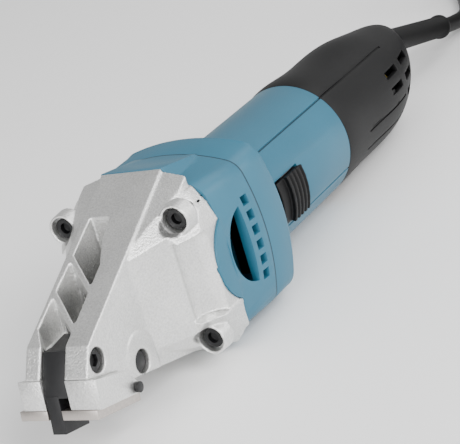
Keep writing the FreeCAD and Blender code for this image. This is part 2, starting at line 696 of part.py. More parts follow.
def make_pivot_bolt():
    shank = cylinder("pivot_shank", "pivot_radius", "2 * (head_width - pivot_sunk)",
                     "pivot_sunk - head_width", "pivot_y", "pivot_z", "x")
    starts = ("head_width - pivot_sunk", "pivot_sunk - head_width - pivot_end")
    ends = [cylinder(f"pivot_end{i}", "pivot_head_radius", "pivot_end", start, "pivot_y", "pivot_z", "x")
            for i, start in enumerate(starts)]
    whole = fused("blade_pivot_bolt", [shank, *ends])
    whole.Label = "blade_pivot_bolt"
    keep(whole)


# ---------------------------------------------------------------- crank

def toothed(body, teeth, root, front, rear):
    """Teeth round the Y axis, standing on a core that is already there."""
    pitch_half = f"(tooth_share * pi * tooth_module / 2)"
    pitch = f"(tooth_module * {teeth} / 2)"
    # flanks lean 20 degrees: each step outward narrows the half tooth by its tangent
    foot = f"{pitch_half} + 1.1 * tooth_module * 0.36"
    tip = f"{pitch_half} - 0.85 * tooth_module * 0.36"
    tooth = prism(body, "XZ", front, rear, polygon([
        (f"-({foot})", f"{root} - 0.4"), (foot, f"{root} - 0.4"),
        (tip, f"{pitch} + 0.85 * tooth_module"), (f"-({tip})", f"{pitch} + 0.85 * tooth_module")]))
    return ring_around(teeth, body, tooth)


def make_crank():
    place = in_tool(z=measure(CRANK_Z))
    body = new_body("crank_shaft")
    back = "rear_bearing_front + crank_bearing_width"
    turn(body, [("0", "crank_bearing_front - 1"), ("crank_radius", "crank_bearing_front - 1"),
                ("crank_radius", back), ("0", back)])
    prism(body, "XZ", "roller_start - 0.4", "crank_bearing_front - 1",
          circle("eccentric_radius", "throw", "0"))
    keep(body, place)

    gear = new_body("driven_gear")
    root = "(tooth_module * (gear_teeth / 2 - 1.1))"
    turn(gear, tube_points("crank_radius", root, "gear_start", "gear_end"))
    toothed(gear, "gear_teeth", root, "gear_start", "gear_end")
    keep(gear, place)

    roller = new_body("eccentric_roller")
    turn(roller, tube_points("eccentric_radius + tidy_gap", "roller_radius", "roller_start",
                             "roller_end"))
    keep(roller, in_tool(x=measure("throw"), z=measure(CRANK_Z)))
    make_bearing("crank_front_bearing", "crank_radius", "front_bearing_radius",
                 "crank_bearing_front", "crank_bearing_width", place)
    make_bearing("crank_rear_bearing", "crank_radius", "rear_bearing_radius",
                 "rear_bearing_front", "crank_bearing_width", place)


def make_bearing(label, bore, outside, front, width, place=None):
    """A closed ball bearing: two rings with their shields set back a little."""
    rear = f"{front} + {width}"
    inner_edge = f"{bore} + ({outside} - {bore}) * 0.3"
    outer_edge = f"{outside} - ({outside} - {bore}) * 0.25"
    turned(label, [(f"{bore} + tidy_gap", front), (inner_edge, front), (inner_edge, f"{front} + 0.4"),
                   (outer_edge, f"{front} + 0.4"), (outer_edge, front), (outside, front),
                   (outside, rear), (outer_edge, rear), (outer_edge, f"{rear} - 0.4"),
                   (inner_edge, f"{rear} - 0.4"), (inner_edge, rear), (f"{bore} + tidy_gap", rear)],
           place)


# ---------------------------------------------------------------- front housing

def make_front_housing():
    body = new_body("front_housing")
    skin(body, "Additive", [
        ("0", bowed_square("front_width", "front_height", "flange_side_radius", "flange_top_radius",
                           "flange_corner")),
        ("flange_front", bowed_square("flange_width", "flange_height", "flange_side_radius",
                                      "flange_top_radius", "flange_corner"))])
    front, rear = outline("crest_front"), outline("crest_rear")
    skin(body, "Additive", [
        ("0", polygon([("-8", "20"), ("8", "20"), *front, *mirrored(front)])),
        ("flange_front", polygon([("-8", "20"), ("8", "20"), *rear, *mirrored(rear)]))])
    for low, high in (("lip_inside", "lip_outside"), ("-lip_outside", "-lip_inside")):
        prism(body, "YZ", low, high, bow("lip_length", "lip_height"))
    # gear room, bearing seats and shaft bore
    prism(body, "XZ", "0", "rear_bearing_front",
          rectangle("-13.5", "13.5", f"{CRANK_Z} - 12.2", "8"), cut=True)
    seat_end = "rear_bearing_front + crank_bearing_width"
    prism(body, "XZ", "rear_bearing_front", seat_end,
          circle("rear_bearing_radius + tidy_gap", "0", CRANK_Z), cut=True)
    prism(body, "XZ", "rear_bearing_front", "armature_bearing_front",
          circle("shaft_radius + 0.4"), cut=True)
    prism(body, "XZ", "armature_bearing_front", "flange_front",
          circle("armature_bearing_radius + tidy_gap"), cut=True)
    # air ducts from the fan to the side outlets
    for side in ("", "-"):
        low, high = ("18", "28.2") if not side else ("-28.2", "-18")
        prism(body, "XZ", "4", "flange_front", rectangle(low, high, "-16", "16"), cut=True)
    for low, high in (("24", "40"), ("-40", "-24")):
        outlet = new_sketch(body, "YZ", high)
        bow("12", "14.6")(outlet)
        outlet.AttachmentOffset = FreeCAD.Placement(
            FreeCAD.Vector(12.6, 0, measure(high)), FreeCAD.Rotation())
        before = body.Tip
        feature = body.newObject("PartDesign::Pocket", "outlet_pocket")
        feature.Profile = outlet
        bind(feature, "Length", f"({high}) - ({low})")
        cut_checks.append((before, feature))
        for i in range(6):
            middle = 15 - 5.8 * i
            prism(body, "YZ", low, high,
                  rectangle("15.2", "19", str(middle - 1.8), str(middle + 1.8)), cut=True)
    for side in ("", "-"):
        for up in ("", "-"):
            prism(body, "XZ", "0", "flange_front",
                  circle("screw_radius + screw_gap", f"{side}screw_x", f"{up}screw_z"), cut=True)
    keep(body)


# ---------------------------------------------------------------- motor housing

def make_motor_housing():
    body = new_body("motor_housing")
    flange = bowed_square("flange_width", "flange_height", "flange_side_radius", "flange_top_radius",
                          "flange_corner")
    prism(body, "XZ", "flange_front", "flange_rear - edge_round", flange)
    # the rear edge of the flange is rounded and falls in a hollow curve to the barrel
    run = "(barrel_start - flange_rear)"
    sections = [("flange_rear - edge_round", flange)]
    for along, share in FLANGE_FALL:
        half, round_side, corner = (f"({wide}) * {1 - share} + ({slim}) * {share}" for wide, slim in (
            ("flange_width", "barrel_radius - 0.2"), ("flange_side_radius", "barrel_radius + 1"),
            ("flange_corner", "barrel_radius - 1.2")))
        sections.append((f"flange_rear + {run} * {along}",
                         bowed_square(half, half, round_side, round_side, corner)))
    for first, second in zip(sections, sections[1:]):
        skin(body, "Additive", [first, second])
    prism(body, "XZ", "flange_rear", "barrel_end", circle("barrel_radius"))
    prism(body, "XZ", "barrel_end", "sleeve_end", circle("sleeve_radius"))
    for angle in ("upper_seam", "lower_seam"):
        seam(body, angle, [("seam_start", "barrel_radius", "0"), ("barrel_end", "barrel_radius", "0")])
    # fan room, barrel bore and the room behind it
    prism(body, "XZ", "flange_front", "flange_rear - 1", circle("fan_radius + 1.2"), cut=True)
    prism(body, "XZ", "flange_rear - 1", "barrel_end - 2",
          circle("stator_radius + tidy_gap"), cut=True)
    prism(body, "XZ", "barrel_end - 2", "tail_bearing_front - 1.5",
          circle("sleeve_radius - sleeve_wall"), cut=True)
    prism(body, "XZ", "tail_bearing_front - 1.5", "sleeve_end",
          circle("tail_bearing_radius + tidy_gap"), cut=True)
    for i in range(4):
        turn_angle = math.radians(45 + 90 * i)
        place = (f"14.8 * {math.cos(turn_angle):.4f}", f"14.8 * {math.sin(turn_angle):.4f}")
        prism(body, "XZ", "tail_bearing_front - 2", "sleeve_end", circle("3.6", *place), cut=True)
    prism(body, "XY", "-(barrel_radius + 2)", "-16", circle("1.55", "0", "cover_screw_y"), cut=True)
    # openings for the brush holders, the switch lever and the switch rod
    prism(body, "XY", "-24", "24", rectangle("-(brush_width / 2 + 1.1)", "brush_width / 2 + 1.1",
          "brush_y - brush_length / 2 - 1.1", "brush_y + brush_length / 2 + 1.1"), cut=True)
    prism(body, "YZ", "15", "40", rectangle("lever_front - switch_travel - 0.6", "lever_rear + 0.6",
          "switch_z - 9.3", "switch_z + 9.3"), cut=True)
    prism(body, "YZ", "stator_radius - 1", "stator_radius + tidy_gap + rod_thickness + 0.3",
          rectangle("lever_rear - 1", "barrel_end", "switch_z - rod_width / 2 - running_gap",
                    "switch_z + rod_width / 2 + running_gap"), cut=True)
    for side in ("", "-"):
        for up in ("", "-"):
            prism(body, "XZ", "flange_front", "screw_end + 1",
                  circle("screw_radius + tidy_gap", f"{side}screw_x", f"{up}screw_z"), cut=True)
    keep(body)


# ---------------------------------------------------------------- motor

def make_armature():
    shaft = new_body("armature_shaft")
    root = "(tooth_module * (pinion_teeth / 2 - 1.1))"
    rear = "tail_bearing_front + armature_bearing_width"
    turn(shaft, [("0", "gear_start - 0.4"), (root, "gear_start - 0.4"),
                 (root, "rear_bearing_front + 0.4"), ("shaft_radius", "rear_bearing_front + 0.4"),
                 ("shaft_radius", "commutator_rear + 3"), ("journal_radius", "commutator_rear + 3"),
                 ("journal_radius", rear), ("0", rear)])
    toothed(shaft, "pinion_teeth", root, "gear_start - 0.4", "rear_bearing_front - 0.4")
    # half a pitch of turn puts a gap of the pinion over a tooth of the gear
    keep(shaft, in_tool(angle=180 / measure("pinion_teeth")
                        if int(measure("pinion_teeth")) % 2 == 0 else 0))
    core = new_body("armature_core")
    turn(core, tube_points("shaft_radius", "armature_radius", "core_front", "core_rear"))
    slot = prism(core, "XZ", "core_front", "core_rear",
                 rectangle("-0.9", "0.9", "armature_radius - 2.2", "armature_radius + 1"), cut=True)
    ring_around("12", core, slot)
    keep(core)
    items = []
    for name, front, end in (("front", "core_front - 8", "core_front"),
                             ("rear", "core_rear", "core_rear + 9")):
        ring = new_body(f"windings_{name}")
        outer = "armature_radius - 2.4"
        turn(ring, [("shaft_radius", front), (f"{outer} - 2.5", front), (outer, f"{front} + 2.5"),
                    (outer, f"{end} - 1.5"), (f"{outer} - 1", end), ("shaft_radius", end)])
        items.append(ring)
    group("armature_windings", items)
    commutator = new_body("commutator")
    turn(commutator, tube_points("shaft_radius", "commutator_radius", "commutator_front",
                                 "commutator_rear"))
    gap = prism(commutator, "XZ", "commutator_front", "commutator_rear",
                rectangle("-0.3", "0.3", "commutator_radius - 0.8", "commutator_radius + 1"), cut=True)
    ring_around("24", commutator, gap)
    keep(commutator)
    make_fan()
    make_bearing("armature_front_bearing", "shaft_radius", "armature_bearing_radius",
                 "armature_bearing_front", "armature_bearing_width")
    make_bearing("armature_rear_bearing", "journal_radius", "tail_bearing_radius",
                 "tail_bearing_front", "armature_bearing_width")


def make_fan():
    fan = new_body("fan")
    turn(fan, [("shaft_radius", "fan_front"), ("9", "fan_front"), ("10", "fan_rear - 1.6"),
               ("fan_radius", "fan_rear - 1.6"), ("fan_radius", "fan_rear"),
               ("shaft_radius", "fan_rear")])
    blade = prism(fan, "XZ", "fan_front + 1", "fan_rear - 1.6",
                  rectangle("-0.7", "0.7", "9", "fan_radius - 0.4"))
    ring_around("fan_blades", fan, blade)
    keep(fan)


def make_stator():
    core = new_body("stator_core")
    bore = "armature_radius + air_gap"
    turn(core, tube_points(bore, "stator_radius", "core_front", "core_rear"))
    for side in (0, 180):
        for up in (1, -1):
            low, high = (35, 64) if up > 0 else (-64, -35)
            slot = [(f"({radius}) * {math.cos(math.radians(a + side)):.5f}",
                     f"({radius}) * {math.sin(math.radians(a + side)):.5f}")
                    for radius, a in (("coil_inside - 0.3", low), ("coil_outside + 0.9", low),
                                      ("coil_outside + 0.9", (low + high) / 2),
                                      ("coil_outside + 0.9", high), ("coil_inside - 0.3", high),
                                      ("coil_inside - 0.3", (low + high) / 2))]
            prism(core, "XZ", "core_front", "core_rear", polygon(slot), cut=True)
    keep(core)
    for label, angle in (("field_coil_right", 0), ("field_coil_left", 180)):
        coil = new_body(label)
        turn(coil, tube_points("coil_inside", "coil_outside", "core_front - coil_reach",
                               "core_rear + coil_reach"), angle="124", middle=True)
        turn(coil, tube_points("coil_inside - 1", "coil_outside + 1", "core_front - 0.3",
                               "core_rear + 0.3"), cut=True, angle="74", middle=True)
        keep(coil, in_tool(angle=angle))
    items = [cylinder(f"stator_screw{i}", "1.1", "4", x, "core_rear", z)
             for i, (x, z) in enumerate((("0", "21.2"), ("0", "-21.2")))]
    group("stator_screws", items)


def make_brushes():
    brushes, holders, springs = [], [], []
    half_x, half_y = "brush_width / 2", "brush_length / 2"
    for i, up in enumerate((1, -1)):
        def span(low, high):
            return (low, high) if up > 0 else (f"-({high})", f"-({low})")
        y = (f"brush_y - {half_y}", f"brush_y + {half_y}")
        brushes.append(block(f"brush{i}", (f"-{half_x}", half_x), y,
                             span("commutator_radius + 0.1", "18.6")))
        shell = block(f"holder_shell{i}", (f"-{half_x} - 0.9", f"{half_x} + 0.9"),
                      (f"{y[0]} - 0.9", f"{y[1]} + 0.9"), span("13", "21.8"))
        hollow = block(f"holder_hollow{i}", (f"-{half_x} - 0.1", f"{half_x} + 0.1"),
                       (f"{y[0]} - 0.1", f"{y[1]} + 0.1"), span("12", "21"))
        holders.append(cut_from(f"holder{i}", shell, hollow))
        start = "18.6" if up > 0 else "-21"
        outer = cylinder(f"spring_outer{i}", "2", "2.4", "0", "brush_y", start, "z")
        inner = cylinder(f"spring_inner{i}", "1.3", "2.4", "0", "brush_y", start, "z")
        springs.append(cut_from(f"spring{i}", outer, inner))
    group("carbon_brushes", brushes)
    group("brush_holders", holders)
    group("brush_springs", springs)


def make_air_pieces():
    turned("bearing_retainer", tube_points("shaft_radius + 1.5", "15", "flange_front",
                                           "flange_front + 1.4"))
    turned("fan_baffle", [("16", "fan_rear + 1"), ("fan_radius + 1.1", "fan_rear + 1"),
                          ("fan_radius + 1.1", "flange_rear - 1"), ("20", "flange_rear - 1")])


# ---------------------------------------------------------------- switch

def make_switch():
    lever_place = in_tool(angle=-math.degrees(math.asin(
        measure("switch_z") / measure("barrel_radius"))))
    lever = new_body("switch_lever")
    inside = "stator_radius + 0.5"
    turn(lever, tube_points(inside, "barrel_radius + 0.9", "lever_front", "lever_rear"),
         angle="lever_angle", middle=True)
    turn(lever, tube_points("barrel_radius + 0.3", "barrel_radius + lever_proud", "lever_front + 6",
                            "lever_rear"), angle="lever_angle", middle=True)
    for i in range(4):
        middle = f"lever_front + 8.4 + {i} * 3"
        ridge = "barrel_radius + lever_proud"
        turn(lever, [(f"{ridge} - 0.8", f"{middle} - 0.5"), (f"{ridge} + 0.5", f"{middle} - 0.9"),
                     (f"{ridge} + 0.5", f"{middle} + 0.9"), (f"{ridge} - 0.8", f"{middle} + 0.5")],
             cut=True, angle="lever_angle + 2", middle=True)
    keep(lever, lever_place)

    low = "stator_radius + tidy_gap"
    rod = new_body("switch_rod")
    width = ("switch_z - rod_width / 2", "switch_z + rod_width / 2")
    prism(rod, "YZ", low, f"{low} + rod_thickness", rectangle("lever_rear", "rod_end", *width))
    prism(rod, "YZ", "9.5", f"{low} + rod_thickness", rectangle("rod_end - 3", "rod_end", *width))
    keep(rod)

    box = block("switch_box", ("-7", "9"), ("152", "184"), ("-9", "9"))
    slot = block("switch_slot", ("6", "9.5"), ("rod_end - switch_travel - 5", "rod_end + 1"),
                 ("switch_z - 2.5", "switch_z + 2.5"))
    unit = cut_from("switch_unit", box, slot)
    unit.Label = "switch_unit"
    keep(unit)


# ---------------------------------------------------------------- rear cover

def make_rear_cover():
    body = new_body("rear_cover")
    count = len(COVER_SECTIONS)
    skin(body, "Additive", [
        (f"cover_place{i}", circle(f"cover_radius{i}", "0", f"cover_rise{i}"))
        for i in range(1, count + 1)])
    inner = [(f"cover_place{i}", circle(f"cover_radius{i} - cover_wall", "0", f"cover_rise{i}"))
             for i in range(1, count)]
    skin(body, "Subtractive", inner)
    last = count
    prism(body, "XZ", f"cover_place{last}", "cover_end",
          circle(f"cover_radius{last} - 1.2", "0", f"cover_rise{last}"))
    prism(body, "XZ", f"cover_place{count - 1} - 2", "cover_end + 1",
          circle("guard_root + 1.05", "0", "guard_z - 0.62"), cut=True)
    seam(body, "upper_seam", [*((f"cover_place{i}", f"cover_radius{i}", f"cover_rise{i}")
                                for i in (1, 2, 3, 4)), ("seam_end", "cover_radius5", "cover_rise5")])
    for angle in ("upper_groove", "lower_groove"):
        seam(body, angle, [(f"cover_place{i}", f"cover_radius{i}", f"cover_rise{i}")
                           for i in range(2, 6)])
    # hole and counterbore of the screw that holds the cover on the sleeve
    prism(body, "XY", "-(barrel_radius + 2)", "-15", circle("1.6", "0", "cover_screw_y"), cut=True)
    prism(body, "XY", "-(barrel_radius + 2)", "-(barrel_radius - 1.8)",
          circle("3", "0", "cover_screw_y"), cut=True)
    # channel for the switch rod
    prism(body, "YZ", "stator_radius - 4", "stator_radius + tidy_gap + rod_thickness + 0.3",
          rectangle("barrel_end", "rod_end + 1", "switch_z - rod_width / 2 - running_gap",
                    "switch_z + rod_width / 2 + running_gap"), cut=True)
    # slots that let air in on both sides of the tail
    for low, high in (("8", "40"), ("-40", "-8")):
        for start, level in ((1, 8), (1, 1), (2, 8), (2, 1), (2, -6)):
            prism(body, "YZ", low, high,
                  rectangle(f"vent_row{start}", f"vent_row{start} + vent_length",
                            f"{level} - vent_height / 2", f"{level} + vent_height / 2"), cut=True)
    keep(body)


def make_cord_pieces():
    guard_place = in_tool(y=measure("guard_y"), z=measure("guard_z"), axis=(1, 0, 0),
                          angle=-measure("guard_droop"))
    turned("cord_guard", [
        ("0", "-5"), ("guard_root + 1.25", "-5"), ("guard_root + 1.25", "-2.8"), ("guard_root", "-2.8"),
        ("guard_root", "10"), ("guard_tip", "guard_length - 3.5"),
        ("guard_tip + 0.7", "guard_length - 3"), ("guard_tip + 0.7", "guard_length - 0.6"),
        ("guard_tip", "guard_length"), ("0", "guard_length")], guard_place)
    strap = block("clamp_strap", ("-9", "9"), ("192", "198"), ("5.4", "8.4"))
    group("cord_clamp", [strap])
    screws = [cylinder(f"clamp_screw{i}", "1.5", "6", x, "195", "-0.6", "z")
              for i, x in enumerate(("-6", "6"))]
    group("cord_clamp_screws", screws)
    capacitor = cylinder("capacitor_can", "6", "14", "0", "185", "-6")
    group("noise_capacitor", [capacitor])
    head = cylinder("cover_screw_head", "2.8", "1.5", "0", "cover_screw_y", "-(barrel_radius - 0.3)", "z")
    shank = cylinder("cover_screw_shank", "1.5", "6", "0", "cover_screw_y", "-(barrel_radius - 1.8)", "z")
    screw = fused("rear_cover_screw", [head, shank])
    screw.Label = "rear_cover_screw"
    keep(screw)


# ---------------------------------------------------------------- cord and plug

def rounded_path(points):
    """Straight runs joined by tangent arcs; prints each arc's radius."""
    corners = [FreeCAD.Vector(*point) for point in points]
    edges, radii = [], []
    start = corners[0]
    for before, corner, after in zip(corners, corners[1:], corners[2:]):
        inward = (corner - before).normalize()
        outward = (after - corner).normalize()
        half_turn = inward.getAngle(outward) / 2
        reach = 0.45 * min(before.distanceToPoint(corner), corner.distanceToPoint(after))
        radii.append(reach / math.tan(half_turn))
        first, last = corner - inward * reach, corner + outward * reach
        towards = (outward - inward).normalize()
        sagitta = radii[-1] / math.cos(half_turn) - radii[-1]
        edges.append(Part.LineSegment(start, first).toShape())
        edges.append(Part.Arc(first, corner + towards * sagitta, last).toShape())
        start = last
    edges.append(Part.LineSegment(start, corners[-1]).toShape())
    return Part.Wire(edges), radii


def make_tube(label, points):
    radius = measure("cord_radius")
    path, radii = rounded_path(points)
    direction = FreeCAD.Vector(*points[1]) - FreeCAD.Vector(*points[0])
    ring = Part.Wire(Part.Circle(FreeCAD.Vector(*points[0]), direction, radius).toShape())
    solid = path.makePipeShell([ring], True, False)
    expected = math.pi * radius ** 2 * path.Length
    print(label, "length", round(path.Length, 1), "radii", [round(r, 1) for r in radii],
          "volume ratio", round(solid.Volume / expected, 4))
    tube = doc.addObject("Part::Feature", label)
    tube.Label = label
    tube.Shape = solid
    keep(tube, on_floor=True)


def make_cord():
    make_tube("power_cord", CORD_ROUTE)
    make_tube("plug_lead", LEAD_ROUTE)
    pitch = "(2 * cord_radius)"
    spread = f"({TURNS_PER_LAYER} * {pitch} / 2 + cord_radius)"
    x, y = map(str, COIL_CENTRE)
    height = f"{COIL_LAYERS} * {pitch}"
    outer = cylinder("coil_outer", f"{COIL_RADIUS} + {spread}", height, x, y, "0", "z")
    inner = cylinder("coil_inner", f"{COIL_RADIUS} - {spread}", height, x, y, "0", "z")
    coil = cut_from("cord_coil", outer, inner)
    coil.Label = "cord_coil"
    keep(coil, on_floor=True)

    x, y, z = map(str, PLUG_PLACE)
    plug = new_body("plug_body")
    turn(plug, [("0", "0"), ("5", "0"), ("7", "22"), ("12", "26"), ("plug_radius - 2", "32"),
                ("plug_radius", "38"), ("plug_radius", "56"), ("0", "56")])
    place = FreeCAD.Placement(FreeCAD.Vector(*PLUG_PLACE),
                              FreeCAD.Rotation(FreeCAD.Vector(0, 0, 1), 180))
    keep(plug, place, on_floor=True)
    pins = []
    for i, side in enumerate((1, -1)):
        middle = f"{x} + {side} * pin_spacing / 2"
        pin = cylinder(f"pin{i}", "pin_radius", "pin_length", middle, f"{y} - 56 - pin_length", z)
        pins.append(pin)
    group("plug_pins", pins, on_floor=True)


# ---------------------------------------------------------------- making and writing

def check(item):
    if {"Invalid", "Error"} & set(item.State):
        raise RuntimeError(f"{item.Label} failed: {item.State}")


def resting_place():
    """Tilts the tool until its tail meets the floor, and centres it over the origin."""
    heel = (measure("flange_rear"), -measure("flange_height"))
    slopes = []
    for i in range(1, len(COVER_SECTIONS) + 1):
        along = measure(f"cover_place{i}")
        low = measure(f"cover_rise{i}") - measure(f"cover_radius{i}")
        slopes.append((low - heel[1]) / (along - heel[0]))
    tilt = FreeCAD.Rotation(FreeCAD.Vector(1, 0, 0), -math.degrees(math.atan(min(slopes))))
    place = FreeCAD.Placement(FreeCAD.Vector(0, 0, 0), tilt)
    shapes = []
    for item, own_place, on_floor in subparts:
        if on_floor or item.Label == "cord_guard":
            continue
        shape = item.Shape.copy()
        shape.Placement = place.multiply(own_place)
        shapes.append(shape.optimalBoundingBox(False))
    low_y = min(box.YMin for box in shapes)
    high_y = max(box.YMax for box in shapes)
    lift = -min(box.ZMin for box in shapes)
    return FreeCAD.Placement(FreeCAD.Vector(0, -(low_y + high_y) / 2, lift), tilt)


def main():
    make_head()
    make_head_screws()
    make_blades()
    make_center_blade()
    make_pivot_bolt()
    make_crank()
    make_front_housing()
    make_motor_housing()
    make_armature()
    make_stator()
    make_brushes()
    make_air_pieces()
    make_switch()
    make_rear_cover()
    make_cord_pieces()
    make_cord()
    doc.recompute()
    for item in doc.Objects:
        check(item)
    for before, feature in cut_checks:
        if feature.Shape.Volume > before.Shape.Volume - 0.01:
            raise RuntimeError(f"{feature.Label} cuts nothing")
    rest = resting_place()
    print("tool frame in the row's frame:", rest)
    for item, own_place, on_floor in subparts:
        item.Placement = own_place if on_floor else rest.multiply(own_place)
    doc.recompute()
    os.makedirs("parts", exist_ok=True)
    for item, _, _ in subparts:
        check(item)
        if item.Shape.isNull() or not item.Shape.isValid():
            raise RuntimeError(f"{item.Label} has no valid shape")
        item.Shape.exportStep(f"parts/{item.Label}.step")
    print(len(subparts), "sub-parts")


main()
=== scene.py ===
"""Looks of a straight double-cut metal shear, laid out as a Blender add-on.

Lengths in the settings are in metres. TOOL carries a point from the tool's own frame, in which
+Y is the motor axis pointing back and +Z is up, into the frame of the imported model.
"""

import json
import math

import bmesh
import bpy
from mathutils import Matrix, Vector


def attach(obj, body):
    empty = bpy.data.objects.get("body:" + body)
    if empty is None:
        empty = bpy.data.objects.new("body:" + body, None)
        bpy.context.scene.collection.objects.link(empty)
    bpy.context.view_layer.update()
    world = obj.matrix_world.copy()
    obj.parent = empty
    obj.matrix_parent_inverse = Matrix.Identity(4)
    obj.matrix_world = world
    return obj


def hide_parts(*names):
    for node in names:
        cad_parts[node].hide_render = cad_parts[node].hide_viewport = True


bl_info = {
    "name": "Straight Metal Shear",
    "version": (1, 0, 0),
    "blender": (4, 5, 0),
    "location": "View3D > Sidebar > Shear",
    "description": "Builds the visible pieces, finishes and stage of a corded metal shear",
    "category": "Add Mesh",
}

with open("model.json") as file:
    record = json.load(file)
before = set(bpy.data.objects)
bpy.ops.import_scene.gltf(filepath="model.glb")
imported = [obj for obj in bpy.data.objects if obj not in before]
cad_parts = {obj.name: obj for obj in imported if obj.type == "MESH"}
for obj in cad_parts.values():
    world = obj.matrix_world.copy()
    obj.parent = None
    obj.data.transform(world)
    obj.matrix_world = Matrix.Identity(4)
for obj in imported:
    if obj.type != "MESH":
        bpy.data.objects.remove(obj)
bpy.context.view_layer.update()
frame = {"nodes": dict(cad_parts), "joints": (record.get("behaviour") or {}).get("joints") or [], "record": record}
NODES = frame["nodes"]
JOINTS = {joint["name"]: joint for joint in frame["joints"]}
BODY_OF = {node: body for body, nodes in frame["record"]["behaviour"]["bodies"].items()
           for node in nodes}
MM = 0.001
SPIN_POINT = 0.080  # the armature's joint lies this far behind the joint of head and housing
FINISH_PREFIX = "finish_"  # keeps these finishes apart from the materials of the CAD nodes

# Places in millimetres of the tool's own frame.
GUARD_ROOT = Vector((0, 206, 9.65))
GUARD_DROOP = 12.5  # degrees by which the bend guard points down
SCREW_X = 23.7  # the head screws lie this far to each side of the motor axis
SCREW_Z = 23  # and this far above and below it
EAR_RIM = ((4.7, -17.5), (5.7, -17.5), (6.1, -11), (4.7, -11), (4.7, -17.5))  # radius, place


def tool_frame():
    """The tool's own frame, read from the armature's axis."""
    spin = JOINTS["armature_spin"]
    back = Vector(spin["axis"]).normalized()
    side = Vector((1, 0, 0))
    matrix = Matrix((side, back, side.cross(back))).transposed().to_4x4()
    matrix.translation = Vector(spin["pos_m"]) - back * SPIN_POINT
    return matrix


TOOL = tool_frame()


# ---------------------------------------------------------------- settings

def length(name, text, default):
    return bpy.props.FloatProperty(name=name, description=text, default=default, unit="LENGTH",
                                   precision=5)


def colour(name, text, default):
    return bpy.props.FloatVectorProperty(name=name, description=text, default=default, size=3,
                                         subtype="COLOR", min=0, max=1)


class ShearColours(bpy.types.PropertyGroup):
    """Colours of the housings and metals."""
    housing: colour("Housing", "Moulded front and motor housing", (0.023, 0.122, 0.190))
    cover: colour("Cover", "Rear cover, switch and cord", (0.0034, 0.0034, 0.0037))
    casting: colour("Casting", "Blasted aluminium of the head", (0.70, 0.70, 0.69))
    blade: colour("Blade", "Ground side blades", (0.50, 0.46, 0.43))
    copper: colour("Copper", "Enamelled windings", (0.50, 0.17, 0.06))


class ShearCord(bpy.types.PropertyGroup):
    """The power cord and its put-away coil."""
    diameter: length("Diameter", "Outside diameter of the cord", 0.0073)
    total: length("Length", "Real length from guard to plug", 2.48)
    coil_radius: length("Coil radius", "Mean radius of the put-away turns", 0.0387)
    layers: bpy.props.IntProperty(name="Layers", description="Layers of turns", default=4)
    turns: bpy.props.FloatProperty(name="Turns", description="Turns in each layer",
                                   default=2.4045, precision=4)


class ShearPieces(bpy.types.PropertyGroup):
    """Fineness of the softened pieces and sizes of the bend guard."""
    casting_grain: length("Casting grain", "Voxel of the cast head", 0.00045)
    lever_grain: length("Lever grain", "Voxel of the switch lever", 0.0003)
    shell_break: length("Shell break", "Bevel of the housings and the rear cover", 0.0002)
    edge_break: length("Edge break", "Bevel of blades and holders", 0.00025)
    screw_break: length("Screw break", "Bevel of screw heads", 0.0002)
    guard_root: length("Guard root", "Radius of the bend guard at its root", 0.0056)
    guard_tip: length("Guard tip", "Radius of the bend guard at its tip", 0.0052)
    guard_length: length("Guard length", "Bend guard from root to tip", 0.0724)


class ShearStage(bpy.types.PropertyGroup):
    """Camera, floor and lights."""
    lens: length("Lens", "Focal length on a 36 mm sensor, in millimetres", 145.8)
    distance: length("Distance", "Camera to the point it looks at", 0.714)
    floor: colour("Floor", "Pale floor", (0.97, 0.97, 0.97))


def settings(name):
    return getattr(bpy.context.scene, name)


# ---------------------------------------------------------------- shader helpers

class Socket:
    """Wraps a number socket, so that Python sums and products add Math nodes."""

    def __init__(self, tree, socket):
        self.tree = tree
        self.socket = socket

    def join(self, operation, first, second):
        maths = self.tree.nodes.new("ShaderNodeMath")
        maths.operation = operation
        for slot, value in zip(maths.inputs, (first, second)):
            connect(self.tree, slot, value)
        return Socket(self.tree, maths.outputs[0])

    def __add__(self, other):
        return self.join("ADD", self, other)

    __radd__ = __add__

    def __mul__(self, other):
        return self.join("MULTIPLY", self, other)

    __rmul__ = __mul__

    def __sub__(self, other):
        return self.join("SUBTRACT", self, other)

    def __rsub__(self, other):
        return self.join("SUBTRACT", other, self)

    def above(self, other):
        return self.join("GREATER_THAN", self, other)

    def below(self, other):
        return self.join("LESS_THAN", self, other)


def connect(tree, slot, value):
    """Links a socket or sets a plain value."""
    if isinstance(value, Socket):
        tree.links.new(value.socket, slot)
    elif hasattr(value, "is_output"):
        tree.links.new(value, slot)
    else:
        slot.default_value = value


